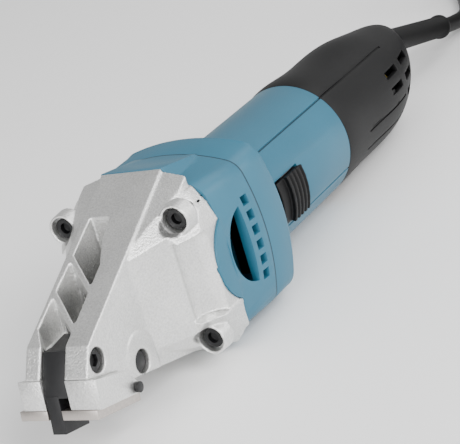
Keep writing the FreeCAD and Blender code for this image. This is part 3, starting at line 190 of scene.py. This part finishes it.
class Finish:
    """A material whose nodes are added by name."""

    def __init__(self, name, **uniform):
        self.material = bpy.data.materials.new(FINISH_PREFIX + name)
        self.material.use_nodes = True
        self.tree = self.material.node_tree
        self.shader = self.tree.nodes["Principled BSDF"]
        self.place = self.add("ShaderNodeTexCoord").outputs["Object"]
        for socket, value in uniform.items():
            self.shader.inputs[socket.replace("_", " ")].default_value = value

    def add(self, kind, options=None, **values):
        node = self.tree.nodes.new(kind)
        for option, value in (options or {}).items():
            setattr(node, option, value)
        for socket, value in values.items():
            connect(self.tree, node.inputs[socket.replace("_", " ")], value)
        return node

    def noise(self, scale, detail=3.0, roughness=0.5):
        node = self.add("ShaderNodeTexNoise", Vector=self.place, Scale=scale, Detail=detail,
                        Roughness=roughness)
        return Socket(self.tree, node.outputs["Fac"])

    def stretched_noise(self, scale, stretch):
        """Noise drawn out along an axis, for ground and brushed marks."""
        mapping = self.add("ShaderNodeMapping", Vector=self.place, Scale=stretch)
        node = self.add("ShaderNodeTexNoise", Vector=mapping.outputs[0], Scale=scale, Detail=2.0)
        return Socket(self.tree, node.outputs["Fac"])

    def in_tool(self):
        """The point's coordinates in the tool's own frame."""
        tool = self.add("ShaderNodeMapping", {"vector_type": "TEXTURE"}, Vector=self.place,
                        Location=TOOL.translation, Rotation=TOOL.to_euler())
        parts = self.add("ShaderNodeSeparateXYZ", Vector=tool.outputs[0])
        return [Socket(self.tree, parts.outputs[axis]) for axis in "XYZ"]

    def along_seam(self, angle, front, rear, width):
        """1 on a line that runs back along a round housing of the tool, 0 beside it."""
        across, back, up = self.in_tool()
        level = up * math.cos(angle) - across * math.sin(angle)
        near = level.above(-width / 2) * level.below(width / 2) * across.above(0)
        return near * back.above(front) * back.below(rear)

    def round_joint(self, place, width):
        """1 on the thin gap where two housings meet, 0 beside it."""
        back = self.in_tool()[1]
        return back.above(place - width / 2) * back.below(place + width / 2)

    def ramp(self, factor, stops):
        node = self.add("ShaderNodeValToRGB", Fac=factor)
        band = node.color_ramp
        while len(band.elements) < len(stops):
            band.elements.new(0.5)
        for element, (place, shade) in zip(band.elements, stops):
            element.position = place
            element.color = (*shade, 1)
        return node.outputs["Color"]

    def between(self, factor, low, high):
        return self.ramp(factor, ((0.3, low), (0.7, high)))

    def set(self, **links):
        for socket, value in links.items():
            connect(self.tree, self.shader.inputs[socket.replace("_", " ")], value)
        return self

    def bump(self, height, strength, distance):
        node = self.add("ShaderNodeBump", Height=height, Strength=strength, Distance=distance)
        connect(self.tree, self.shader.inputs["Normal"], node.outputs["Normal"])
        return self


def shade(colour_value, factor):
    return tuple(min(1, c * factor) for c in colour_value)


# ---------------------------------------------------------------- finishes

def cast_alloy():
    tint = settings("shear_colours").casting
    finish = Finish("cast_alloy", Metallic=0.95)
    cloud = finish.noise(60, 4)
    grain = finish.noise(1500, 3)
    finish.set(Base_Color=finish.between(grain * 0.7 + cloud * 0.3, shade(tint, 0.82),
                                         shade(tint, 1.22)),
               Roughness=cloud * 0.10 + grain * 0.14 + 0.27)
    return finish.bump(grain, 0.6, 0.0003).material


def moulded(name, tint, rough, grain_scale=3200, grain_height=0.00006, index=1.3, seams=(),
            joints=()):
    """Plastic or rubber, with painted shade drawn as dark lines on its seams and joints, in millimetres of the
    tool's frame.

    A seam is (angle in degrees, front, rear, width), a joint is (place, width).
    """
    finish = Finish(name, IOR=index)
    cloud = finish.noise(35, 3)
    grain = finish.noise(grain_scale, 2)
    surface = finish.between(cloud, shade(tint, 0.95), shade(tint, 1.05))
    if seams:
        lines = [finish.along_seam(math.radians(angle), front * MM, rear * MM, width * MM)
                 for angle, front, rear, width in seams]
        lines += [finish.round_joint(place * MM, width * MM) for place, width in joints]
        # Painted shade: seam and joint lines are mixed towards a tenth of the tint, standing in for the shade
        # inside the gaps between housing parts.
        painted_seam_shade = finish.add("ShaderNodeMix", {"data_type": "RGBA"})
        connect(finish.tree, painted_seam_shade.inputs["Factor"], sum(lines[1:], lines[0]) * 0.85)
        connect(finish.tree, painted_seam_shade.inputs["A"], surface)
        painted_seam_shade.inputs["B"].default_value = (*shade(tint, 0.1), 1)
        surface = painted_seam_shade.outputs["Result"]
    finish.set(Base_Color=surface, Roughness=cloud * 0.08 + grain * 0.12 + rough)
    return finish.bump(grain, 0.5, grain_height).material


def blue_plastic():
    return moulded("blue_plastic", settings("shear_colours").housing, 0.34, index=1.4,
                   seams=((46, 57, 114.5, 0.5), (-30, 57, 114.5, 0.5)), joints=((22.6, 0.7),))


def black_plastic():
    return moulded("black_plastic", settings("shear_colours").cover, 0.42, 2400, 0.00009,
                   seams=((46, 114, 178, 0.6), (-14, 136, 178, 0.9), (-34, 136, 178, 0.9)))


def soft_rubber():
    return moulded("soft_rubber", shade(settings("shear_colours").cover, 0.8), 0.45, 1800)


def cord_jacket():
    return moulded("cord_jacket", shade(settings("shear_colours").cover, 0.9), 0.38, 900, 0.00005)


def brushed(name, tint, metallic, rough, stretch=(1, 12, 1), lines=900):
    finish = Finish(name, Metallic=metallic)
    marks = finish.stretched_noise(lines, stretch)
    cloud = finish.noise(120, 3)
    finish.set(Base_Color=finish.between(marks, shade(tint, 0.88), shade(tint, 1.08)),
               Roughness=marks * 0.14 + cloud * 0.10 + rough)
    return finish.bump(marks, 0.25, 0.00004).material


def black_screws():
    return brushed("black_screws", (0.006, 0.006, 0.007), 0.3, 0.26, (1, 1, 1), 1500)


def blade_steel():
    return brushed("blade_steel", settings("shear_colours").blade, 1.0, 0.24, (10, 1, 1))


def dark_steel():
    return brushed("dark_steel", (0.007, 0.007, 0.008), 0.25, 0.36, (1, 1, 1), 1100)


def bright_steel():
    return brushed("bright_steel", (0.62, 0.62, 0.63), 1.0, 0.2)


def plated_pins():
    return brushed("plated_pins", (0.80, 0.79, 0.76), 1.0, 0.14)


def core_laminations():
    finish = Finish("core_laminations", Metallic=0.8)
    sheets = finish.add("ShaderNodeTexWave", {"bands_direction": "Y"}, Vector=finish.place,
                        Scale=600.0, Distortion=0.2)
    edges = Socket(finish.tree, sheets.outputs["Fac"])
    finish.set(Base_Color=finish.between(edges, (0.16, 0.16, 0.17), (0.34, 0.34, 0.35)),
               Roughness=edges * 0.2 + 0.35)
    return finish.bump(edges, 0.5, 0.0001).material


def enamelled_copper():
    tint = settings("shear_colours").copper
    finish = Finish("enamelled_copper", Metallic=0.7, Coat_Weight=0.5)
    strands = finish.add("ShaderNodeTexWave", {"bands_direction": "DIAGONAL"}, Vector=finish.place,
                         Scale=420.0, Distortion=2.0, Detail=1.0)
    wires = Socket(finish.tree, strands.outputs["Fac"])
    finish.set(Base_Color=finish.between(wires, shade(tint, 0.4), shade(tint, 1.2)),
               Roughness=wires * 0.15 + 0.25)
    return finish.bump(wires, 0.8, 0.0003).material


def carbon():
    return moulded("carbon", (0.03, 0.03, 0.032), 0.5, 4000, 0.00003)


def capacitor_film():
    return moulded("capacitor_film", (0.55, 0.42, 0.08), 0.2, 500, 0.00002)


def pale_floor():
    tint = settings("shear_stage").floor
    finish = Finish("pale_floor")
    cloud = finish.noise(3, 2)
    finish.set(Base_Color=finish.between(cloud, shade(tint, 0.985), shade(tint, 1.0)),
               Roughness=cloud * 0.05 + 0.6)
    return finish.material


MAKERS = {maker.__name__: maker for maker in (
    cast_alloy, blue_plastic, black_plastic, soft_rubber, cord_jacket, plated_pins, black_screws,
    blade_steel, dark_steel, bright_steel, core_laminations, enamelled_copper, carbon,
    capacitor_film, pale_floor)}


def finish_named(name):
    """Each finish is made once and shared by its pieces."""
    return bpy.data.materials.get(FINISH_PREFIX + name) or MAKERS[name]()


# ---------------------------------------------------------------- pieces

SLOT_OF = {entry["node"]: entry["material_slot"] for entry in frame["record"]["subparts"]}


def add_object(name, data):
    item = bpy.data.objects.new(name, data)
    bpy.context.scene.collection.objects.link(item)
    return item


def merged_copy(node):
    """A bmesh of a CAD node with its loose triangles joined into a closed skin."""
    skin = bmesh.new()
    skin.from_mesh(NODES[node].data)
    bmesh.ops.remove_doubles(skin, verts=skin.verts, dist=0.000002)
    return skin


def add_ring(skin, x, z):
    """Adds the closed rim round a screw recess to the skin; x and z are the screw's place."""
    ring = spun([(radius * MM, place * MM) for radius, place in EAR_RIM])
    bmesh.ops.transform(ring, matrix=TOOL @ Matrix.Translation((x * MM, 0, z * MM)),
                        verts=ring.verts)
    mesh = bpy.data.meshes.new("rim")
    ring.to_mesh(mesh)
    ring.free()
    skin.from_mesh(mesh)
    bpy.data.meshes.remove(mesh)


def add_piece(name, skin, nodes, finish=None, smooth_angle=35):
    """Makes an object of a bmesh that stands for CAD nodes and rides on their body."""
    mesh = bpy.data.meshes.new(name)
    skin.to_mesh(mesh)
    skin.free()
    mesh.shade_smooth()
    mesh.set_sharp_from_angle(angle=math.radians(smooth_angle))
    item = add_object(name, mesh)
    nodes = [nodes] if isinstance(nodes, str) else nodes
    item.data.materials.append(finish_named(finish or SLOT_OF[nodes[0]]))
    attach(item, BODY_OF[nodes[0]])
    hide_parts(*nodes)
    return item


def fused_skin(skin, voxel, rounds, share):
    """Remeshes a closed skin with small voxels and smooths it, as moulded edges are soft."""
    mesh = bpy.data.meshes.new("rough")
    skin.to_mesh(mesh)
    skin.free()
    rough = add_object("rough", mesh)
    remesh = rough.modifiers.new("Remesh", "REMESH")
    remesh.mode = "VOXEL"
    remesh.voxel_size = voxel
    smooth = rough.modifiers.new("Smooth", "SMOOTH")
    smooth.iterations = rounds
    thin = rough.modifiers.new("Decimate", "DECIMATE")
    thin.ratio = share
    ready = bpy.data.meshes.new_from_object(rough.evaluated_get(
        bpy.context.evaluated_depsgraph_get()))
    fine = bmesh.new()
    fine.from_mesh(ready)
    bpy.data.objects.remove(rough)
    bpy.data.meshes.remove(mesh)
    bpy.data.meshes.remove(ready)
    return fine


def flat_skin(skin):
    """Joins the triangles of flat faces, so that only real edges stay."""
    bmesh.ops.dissolve_limit(skin, angle_limit=math.radians(1), verts=skin.verts,
                             edges=skin.edges)
    return skin


def bevelled(skin, width, segments=2, angle=25):
    """Rounds every edge sharper than the angle."""
    sharp = [edge for edge in skin.edges
             if len(edge.link_faces) == 2 and edge.calc_face_angle() > math.radians(angle)]
    bmesh.ops.bevel(skin, geom=sharp, offset=width, offset_type="OFFSET", segments=segments,
                    affect="EDGES", profile=0.5, clamp_overlap=True, material=-1)
    return skin


def soften(name, node, voxel, share=1.0, rounds=1):
    """A cast or moulded piece: the CAD node's shape with softened edges.

    The share is the part of the remeshed triangles that stays.
    """
    skin = fused_skin(merged_copy(node), voxel, rounds, share)
    return add_piece(name, skin, node, smooth_angle=180)


def make_head():
    """The casting with soft edges and a closed rim round each of its four screws."""
    skin = merged_copy("head_housing")
    for side in (-1, 1):
        for level in (-1, 1):
            add_ring(skin, side * SCREW_X, level * SCREW_Z)
    skin = fused_skin(skin, settings("shear_pieces").casting_grain, rounds=2, share=0.5)
    add_piece("cast_head", skin, "head_housing", smooth_angle=180)


HOUSING_PIECES = {
    "front_shell": "front_housing", "motor_shell": "motor_housing", "rear_shell": "rear_cover",
}


def make_housings():
    """The moulded housings with broken edges."""
    width = settings("shear_pieces").shell_break
    for name, node in HOUSING_PIECES.items():
        add_piece(name, bevelled(merged_copy(node), width, angle=40), node, smooth_angle=40)


def make_switch():
    soften("slide_lever", "switch_lever", settings("shear_pieces").lever_grain)


BLADE_PIECES = {
    "left_holder": "side_blade_holder_left", "right_holder": "side_blade_holder_right",
    "left_blade": "side_blade_left", "right_blade": "side_blade_right",
    "middle_blade": "center_blade",
}


def make_blades():
    """The holders and the three blades, with ground and broken edges."""
    width = settings("shear_pieces").edge_break
    for name, node in BLADE_PIECES.items():
        add_piece(name, bevelled(flat_skin(merged_copy(node)), width), node)


def spun(profile, steps=48):
    """A closed skin turned about +Y from points of (radius, place), both in metres."""
    skin = bmesh.new()
    line = [skin.verts.new((radius, place, 0)) for radius, place in profile]
    edges = [skin.edges.new(pair) for pair in zip(line, line[1:])]
    bmesh.ops.spin(skin, geom=line + edges, cent=(0, 0, 0), axis=(0, 1, 0), dvec=(0, 0, 0),
                   angle=2 * math.pi, steps=steps, use_merge=True)
    bmesh.ops.remove_doubles(skin, verts=skin.verts, dist=0.000001)
    bmesh.ops.recalc_face_normals(skin, faces=skin.faces)
    return skin


def placed(skin, start, direction):
    """Carries a shape turned about +Y to a place and direction of the row's frame."""
    turn = Vector((0, 1, 0)).rotation_difference(direction).to_matrix().to_4x4()
    turn.translation = start
    bmesh.ops.transform(skin, matrix=turn, verts=skin.verts)
    return skin


# The collar as (radius beyond the root, place), the lip as (radius beyond the tip, place from
# the end), and the plug's body as (radius, place).
GUARD_COLLAR = ((0.0012, -0.0049), (0.0012, -0.003), (-0.0001, -0.0028), (-0.0001, 0.0098))
GUARD_LIP = ((-0.0001, 0.0042), (0.0005, 0.0034), (0.0006, 0.0022), (0.0005, 0.001), (0, 0.0002))
PLUG_NECK = ((0, 0.0001), (0.0048, 0.0001), (0.0058, 0.006))
PLUG_RING = ((0, 0.0062), (0.0012, 0.0055), (0.0022, 0.0055), (0.0034, 0.0064))
PLUG_RING_STARTS = [0.008 + 0.0045 * ring for ring in range(3)]
PLUG_BODY = ((0.0068, 0.0219), (0.0085, 0.0238), (0.0118, 0.0262), (0.0162, 0.0318),
             (0.0178, 0.0352), (0.0184, 0.038), (0.0177, 0.0392), (0.0177, 0.0442),
             (0.0184, 0.0455), (0.0184, 0.0548), (0.0174, 0.0559), (0, 0.0559))
PIN_ROUNDING = 0.0009


def make_guard():
    """The bend guard: a collar, a smooth slimming sleeve and a rounded lip at its end."""
    pieces = settings("shear_pieces")
    droop = Matrix.Rotation(math.radians(-GUARD_DROOP), 3, "X") @ Vector((0, 1, 0))
    root, tip, end = pieces.guard_root, pieces.guard_tip, pieces.guard_length
    profile = [(0, -0.0049)]
    profile += [(root + out, place) for out, place in GUARD_COLLAR]
    profile += [(tip + out, end - place) for out, place in GUARD_LIP]
    profile.append((0, end - 0.0001))
    skin = placed(spun(profile), TOOL @ (GUARD_ROOT * MM), TOOL.to_3x3() @ droop)
    add_piece("bend_guard", skin, "cord_guard", smooth_angle=50)


def make_plug():
    """A round moulded plug with finger grooves, and its two pins with rounded ends."""
    profile = list(PLUG_NECK)
    profile += [(out, start + along) for start in PLUG_RING_STARTS for along, out in PLUG_RING]
    profile += PLUG_BODY
    body = placed(spun(profile, 64), Vector(LEAD_ROUTE[-1]), Vector((0, -1, 0)))
    add_piece("moulded_plug", body, "plug_body", smooth_angle=50)
    pins = bevelled(flat_skin(merged_copy("plug_pins")), PIN_ROUNDING, segments=3)
    add_piece("round_pins", pins, "plug_pins", smooth_angle=50)


SCREW_PIECES = {
    "ear_screws": "head_screws", "nose_screws": "nose_bolts", "pivot_screw": "blade_pivot_bolt",
    "plate_screws": "side_blade_screws", "cover_screw": "rear_cover_screw",
}


def make_screws():
    """Screws and bolts with broken edges."""
    width = settings("shear_pieces").screw_break
    for name, node in SCREW_PIECES.items():
        add_piece(name, bevelled(merged_copy(node), width, angle=40), node, smooth_angle=50)


def finish_cad_nodes():
    """Gives every CAD node that still shows its own finish."""
    for node, item in NODES.items():
        item.data.materials.clear()
        item.data.materials.append(finish_named(SLOT_OF[node]))


# ---------------------------------------------------------------- cord

COIL_CENTRE = (0.016, 0.3189)
COIL_START = math.radians(207.5)
CORD_ROUTE = [(0, 0.2091, 0.011), (0.0001, 0.2245, 0.0065), (0.0004, 0.2449, 0.00375),
              (-0.0261, 0.297, 0.0037)]
LEAD_ROUTE = [(0.0619, 0.3066, 0.0255), (0.0556, 0.2829, 0.0234), (0.0502, 0.2709, 0.0194),
              (0.050, 0.2589, 0.0185)]
POINTS_PER_TURN = 16
CLIMB_STEPS = 3  # the last steps of a layer, on which the cord rises to the next


def coil_points(cord):
    """Turns wound inwards and outwards in turn, one layer on the other, seen clockwise."""
    points = []
    spread = cord.turns * cord.diameter / 2
    steps = round(cord.turns * POINTS_PER_TURN)
    for layer in range(cord.layers):
        for step in range(steps):
            share = step / steps
            across = 1 - 2 * share if layer % 2 == 0 else 2 * share - 1
            radius = cord.coil_radius + spread * across
            turned = COIL_START - 2 * math.pi * cord.turns * (layer + share)
            rise = 0
            if layer + 1 < cord.layers:
                rise = max(0, step - (steps - CLIMB_STEPS)) / CLIMB_STEPS
            points.append((COIL_CENTRE[0] + radius * math.cos(turned),
                           COIL_CENTRE[1] + radius * math.sin(turned),
                           cord.diameter * (layer + 0.5 + rise)))
    return points


def make_cord():
    cord = settings("shear_cord")
    points = CORD_ROUTE[:-1] + coil_points(cord) + LEAD_ROUTE
    curve = bpy.data.curves.new("power_lead", "CURVE")
    curve.dimensions = "3D"
    spline = curve.splines.new("NURBS")
    spline.points.add(len(points) - 1)
    for point, place in zip(spline.points, points):
        point.co = (*place, 1)
    spline.order_u = 3
    spline.use_endpoint_u = True
    spline.resolution_u = 4
    curve.bevel_depth = cord.diameter / 2
    curve.bevel_resolution = 5
    curve.use_fill_caps = True
    curve.materials.append(finish_named("cord_jacket"))
    lead = add_object("power_lead", curve)
    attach(lead, BODY_OF["power_cord"])
    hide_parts("power_cord", "cord_coil", "plug_lead")


# ---------------------------------------------------------------- stage

# The camera's angles in degrees and the point it looks at, in the tool's own frame.
VIEW_AZIMUTH = 33.38
VIEW_ELEVATION = 18.59
VIEW_ROLL = -16.7
LOOK_AT = Vector((0.95, 50.4, -6.45)) * MM
FLOOR_REACH = 6
SKY_STRENGTH = 0.62
LIGHTS_AIM = (0, 0, 0.03)
LIGHTS = {  # place, size, energy
    "key": ((1.1, -0.5, 0.9), (0.7, 0.7), 19),
    "side": ((1.2, 0.6, 0.5), (0.9, 0.5), 9),
    "front": ((0.1, -1.3, 0.5), (0.8, 0.8), 15),
    "top": ((0.5, 0.9, 1.2), (0.9, 0.9), 8),
}


def make_camera():
    stage = settings("shear_stage")
    side, lift, roll = (math.radians(a) for a in (VIEW_AZIMUTH, VIEW_ELEVATION, VIEW_ROLL))
    back = Vector((math.sin(side) * math.cos(lift), -math.cos(side) * math.cos(lift),
                   math.sin(lift)))
    right = Vector((math.cos(side), math.sin(side), 0))
    up = back.cross(right)
    rolled = right * math.cos(roll) + up * math.sin(roll)
    pose = Matrix((rolled, back.cross(rolled), back)).transposed().to_4x4()
    pose.translation = LOOK_AT + back * stage.distance
    data = bpy.data.cameras.new("camera")
    data.lens = stage.lens
    data.clip_start = 0.01
    camera = add_object("camera", data)
    camera.matrix_world = TOOL @ pose
    bpy.context.scene.camera = camera


def make_floor():
    skin = bmesh.new()
    bmesh.ops.create_grid(skin, x_segments=1, y_segments=1, size=FLOOR_REACH)
    mesh = bpy.data.meshes.new("floor")
    skin.to_mesh(mesh)
    skin.free()
    floor = add_object("floor", mesh)
    mesh.materials.append(finish_named("pale_floor"))


def add_light(name, place, size, energy):
    data = bpy.data.lights.new(name, "AREA")
    data.shape = "RECTANGLE"
    data.size, data.size_y = size
    data.energy = energy
    light = add_object(name, data)
    light.location = place
    aim = Vector(LIGHTS_AIM) - Vector(place)
    light.rotation_euler = aim.to_track_quat("-Z", "Y").to_euler()


def make_lights():
    world = bpy.data.worlds.new("studio")
    world.use_nodes = True
    back = world.node_tree.nodes["Background"]
    back.inputs["Color"].default_value = (1, 1, 1, 1)
    back.inputs["Strength"].default_value = SKY_STRENGTH
    bpy.context.scene.world = world
    for name, (place, size, energy) in LIGHTS.items():
        add_light(name, place, size, energy)


# ---------------------------------------------------------------- operators

class SHEAR_OT_stage(bpy.types.Operator):
    """Add the camera, the pale floor and the studio lights"""
    bl_idname = "shear.stage"
    bl_label = "Stage"

    def execute(self, context):
        make_camera()
        make_floor()
        make_lights()
        return {"FINISHED"}


class SHEAR_OT_cord(bpy.types.Operator):
    """Add the power cord with its put-away coil"""
    bl_idname = "shear.cord"
    bl_label = "Cord"

    def execute(self, context):
        make_cord()
        return {"FINISHED"}


class SHEAR_OT_finishes(bpy.types.Operator):
    """Give every CAD node its finish"""
    bl_idname = "shear.finishes"
    bl_label = "Finishes"

    def execute(self, context):
        finish_cad_nodes()
        return {"FINISHED"}


class SHEAR_OT_head(bpy.types.Operator):
    """Add the cast head"""
    bl_idname = "shear.head"
    bl_label = "Head"

    def execute(self, context):
        make_head()
        return {"FINISHED"}


class SHEAR_OT_housings(bpy.types.Operator):
    """Add the front housing, the motor housing and the rear cover"""
    bl_idname = "shear.housings"
    bl_label = "Housings"

    def execute(self, context):
        make_housings()
        return {"FINISHED"}


class SHEAR_OT_switch(bpy.types.Operator):
    """Add the ridged switch lever"""
    bl_idname = "shear.switch"
    bl_label = "Switch"

    def execute(self, context):
        make_switch()
        return {"FINISHED"}


class SHEAR_OT_blades(bpy.types.Operator):
    """Add the blades and their holders"""
    bl_idname = "shear.blades"
    bl_label = "Blades"

    def execute(self, context):
        make_blades()
        return {"FINISHED"}


class SHEAR_OT_screws(bpy.types.Operator):
    """Add the screws and bolts"""
    bl_idname = "shear.screws"
    bl_label = "Screws"

    def execute(self, context):
        make_screws()
        return {"FINISHED"}


class SHEAR_OT_guard(bpy.types.Operator):
    """Add the bend guard of the cord"""
    bl_idname = "shear.guard"
    bl_label = "Bend Guard"

    def execute(self, context):
        make_guard()
        return {"FINISHED"}


class SHEAR_OT_plug(bpy.types.Operator):
    """Add the plug and its pins"""
    bl_idname = "shear.plug"
    bl_label = "Plug"

    def execute(self, context):
        make_plug()
        return {"FINISHED"}


OPERATORS = (SHEAR_OT_stage, SHEAR_OT_guard, SHEAR_OT_plug, SHEAR_OT_cord, SHEAR_OT_finishes,
             SHEAR_OT_head, SHEAR_OT_housings, SHEAR_OT_switch, SHEAR_OT_blades, SHEAR_OT_screws)


class SHEAR_PT_panel(bpy.types.Panel):
    """Lists the pieces of the shear"""
    bl_idname = "SHEAR_PT_panel"
    bl_label = "Metal Shear"
    bl_space_type = "VIEW_3D"
    bl_region_type = "UI"
    bl_category = "Shear"

    def draw(self, context):
        for operator in OPERATORS:
            self.layout.operator(operator.bl_idname)
        for name in SETTINGS:
            group = getattr(context.scene, name)
            for field in group.__annotations__:
                self.layout.prop(group, field)


SETTINGS = {"shear_colours": ShearColours, "shear_pieces": ShearPieces,
            "shear_cord": ShearCord, "shear_stage": ShearStage}


def register():
    for group in (*SETTINGS.values(), *OPERATORS, SHEAR_PT_panel):
        bpy.utils.register_class(group)
    for name, group in SETTINGS.items():
        setattr(bpy.types.Scene, name, bpy.props.PointerProperty(type=group))


def unregister():
    for name in SETTINGS:
        delattr(bpy.types.Scene, name)
    for group in reversed((*SETTINGS.values(), *OPERATORS, SHEAR_PT_panel)):
        bpy.utils.unregister_class(group)


def main():
    register()
    for operator in OPERATORS:
        module, name = operator.bl_idname.split(".")
        getattr(getattr(bpy.ops, module), name)()


if __name__ == "__main__":
    main()
